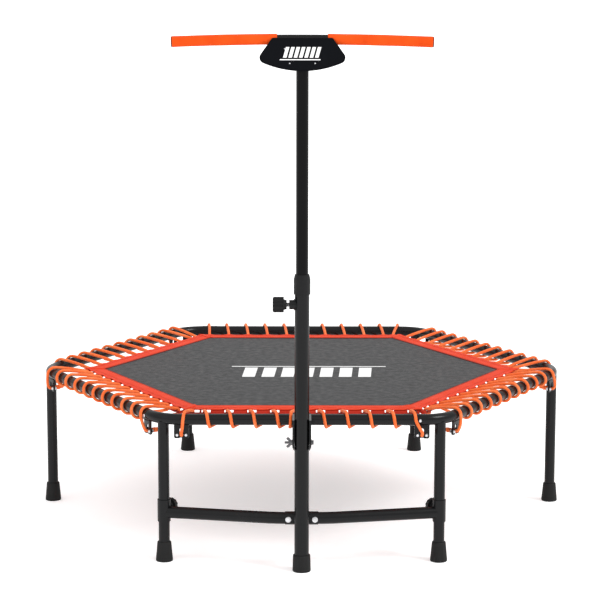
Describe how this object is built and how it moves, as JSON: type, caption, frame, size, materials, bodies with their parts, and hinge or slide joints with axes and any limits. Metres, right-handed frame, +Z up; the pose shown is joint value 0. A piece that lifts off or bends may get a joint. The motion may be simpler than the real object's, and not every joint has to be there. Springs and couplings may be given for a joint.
{
  "type": "mini trampoline",
  "caption": "Six-sided fitness trampoline on legs: a mat hung in a tube ring by elastic ropes, with a height-adjustable T-handle on a mast.",
  "frame": {"origin": "on the floor, at the middle of the footprint of the ring and the mast together", "axes": "+X to the right along the handle's bar, +Y to the back, away from the mast, +Z up"},
  "size_m": [1.415, 1.3368, 1.3148],
  "materials": {
    "black_powder_coat": "satin black powder coat on steel tube",
    "zinc_plated_steel": "bright zinc plating",
    "foot_rubber": "matte moulded rubber",
    "black_plastic": "fine grained injection moulding",
    "plate_plastic": "smooth moulded plastic with a slight gloss",
    "mat_fabric": "dense woven polypropylene",
    "border_webbing": "sewn orange-red webbing",
    "rope_cover": "braided textile cover over a rubber core",
    "grip_foam": "closed-cell foam with a fine skin"
  },
  "bodies": {
    "frame": {"ring_segment_1": "black_powder_coat", "ring_segment_2": "black_powder_coat", "ring_segment_3": "black_powder_coat", "ring_segment_4": "black_powder_coat", "ring_segment_5": "black_powder_coat", "ring_segment_6": "black_powder_coat", "leg_1": "black_powder_coat", "leg_2": "black_powder_coat", "leg_3": "black_powder_coat", "leg_4": "black_powder_coat", "leg_5": "black_powder_coat", "leg_6": "black_powder_coat", "rope_1": "rope_cover", "rope_2": "rope_cover", "rope_3": "rope_cover", "rope_4": "rope_cover", "rope_5": "rope_cover", "rope_6": "rope_cover", "ring_joint_screws": "zinc_plated_steel", "leg_studs": "black_powder_coat", "leg_inserts": "zinc_plated_steel", "feet": "foot_rubber", "anchor_plates": "black_powder_coat", "anchor_bars": "black_powder_coat", "anchor_bolts": "zinc_plated_steel", "rope_knots": "rope_cover", "mast_lower_tube": "black_powder_coat", "mast_foot_cap": "foot_rubber", "mast_collar": "black_plastic", "mast_cross_socket": "black_powder_coat", "clamp_boss": "black_powder_coat", "mast_bracket": "black_powder_coat", "bracket_saddle": "black_powder_coat", "bracket_bolts": "zinc_plated_steel", "cross_bolt": "zinc_plated_steel", "brace_left": "black_powder_coat", "brace_right": "black_powder_coat", "brace_sleeves": "black_powder_coat", "brace_bolts": "zinc_plated_steel"},
    "mat": {"mat_sheet": "mat_fabric", "border_strips": "border_webbing", "mat_rods": "zinc_plated_steel"},
    "handle": {"upper_tube": "black_powder_coat", "upper_tube_bush": "black_plastic", "t_bar": "black_powder_coat", "grip_left": "grip_foam", "grip_right": "grip_foam", "bar_end_plugs": "black_plastic", "plate_front": "plate_plastic", "plate_rear": "plate_plastic", "plate_screws": "zinc_plated_steel"},
    "clamp_screw": {"clamp_stud": "zinc_plated_steel"},
    "clamp_handle": {"clamp_knob": "black_plastic"},
    "sleeve_screw_left": {"sleeve_stud_left": "zinc_plated_steel"},
    "sleeve_handle_left": {"sleeve_knob_left": "black_plastic"},
    "sleeve_screw_right": {"sleeve_stud_right": "zinc_plated_steel"},
    "sleeve_handle_right": {"sleeve_knob_right": "black_plastic"},
    "bolt_washer": {"wing_washer": "zinc_plated_steel"},
    "bolt_wing_nut": {"wing_nut": "zinc_plated_steel"}
  },
  "joints": [
    {"name": "mat_bounce", "type": "slide", "parent": "frame", "child": "mat", "axis": [0, 0, 1], "range_m": [-0.12, 0.02], "stiffness_N_per_m": 6500, "springref_m": 0.0035, "deforming": ["rope_1", "rope_2", "rope_3", "rope_4", "rope_5", "rope_6"]},
    {"name": "mast_height", "type": "slide", "parent": "frame", "child": "handle", "axis": [0, 0, 1], "range_m": [-0.2, 0]},
    {"name": "clamp_travel", "type": "slide", "parent": "frame", "child": "clamp_screw", "axis": [-1, 0, 0], "range_m": [0, 0.003]},
    {"name": "clamp_turn", "type": "hinge", "parent": "clamp_screw", "child": "clamp_handle", "pos_m": [-0.045, -0.6459, 0.665], "axis": [-1, 0, 0], "range_deg": [0, 720]},
    {"name": "sleeve_left_travel", "type": "slide", "parent": "frame", "child": "sleeve_screw_left", "axis": [0.342, 0.9397, 0], "range_m": [0, 0.0025]},
    {"name": "sleeve_left_turn", "type": "hinge", "parent": "sleeve_screw_left", "child": "sleeve_handle_left", "pos_m": [-0.343, -0.55599, 0.133], "axis": [0.342, 0.9397, 0], "range_deg": [0, 720]},
    {"name": "sleeve_right_travel", "type": "slide", "parent": "frame", "child": "sleeve_screw_right", "axis": [-0.342, 0.9397, 0], "range_m": [0, 0.0025]},
    {"name": "sleeve_right_turn", "type": "hinge", "parent": "sleeve_screw_right", "child": "sleeve_handle_right", "pos_m": [0.343, -0.55599, 0.133], "axis": [-0.342, 0.9397, 0], "range_deg": [0, 720]},
    {"name": "wing_nut_travel", "type": "slide", "parent": "frame", "child": "bolt_washer", "axis": [-1, 0, 0], "range_m": [0, 0.002]},
    {"name": "wing_nut_turn", "type": "hinge", "parent": "bolt_washer", "child": "bolt_wing_nut", "pos_m": [-0.025, -0.6459, 0.324], "axis": [-1, 0, 0], "range_deg": [0, 720]}
  ],
  "couplings": [
    {"joint": "clamp_turn", "follows": "clamp_travel", "rad_per_m": 4188.4},
    {"joint": "sleeve_left_turn", "follows": "sleeve_left_travel", "rad_per_m": 5026.1},
    {"joint": "sleeve_right_turn", "follows": "sleeve_right_travel", "rad_per_m": 5026.1},
    {"joint": "wing_nut_turn", "follows": "wing_nut_travel", "rad_per_m": 6282.6}
  ]
}
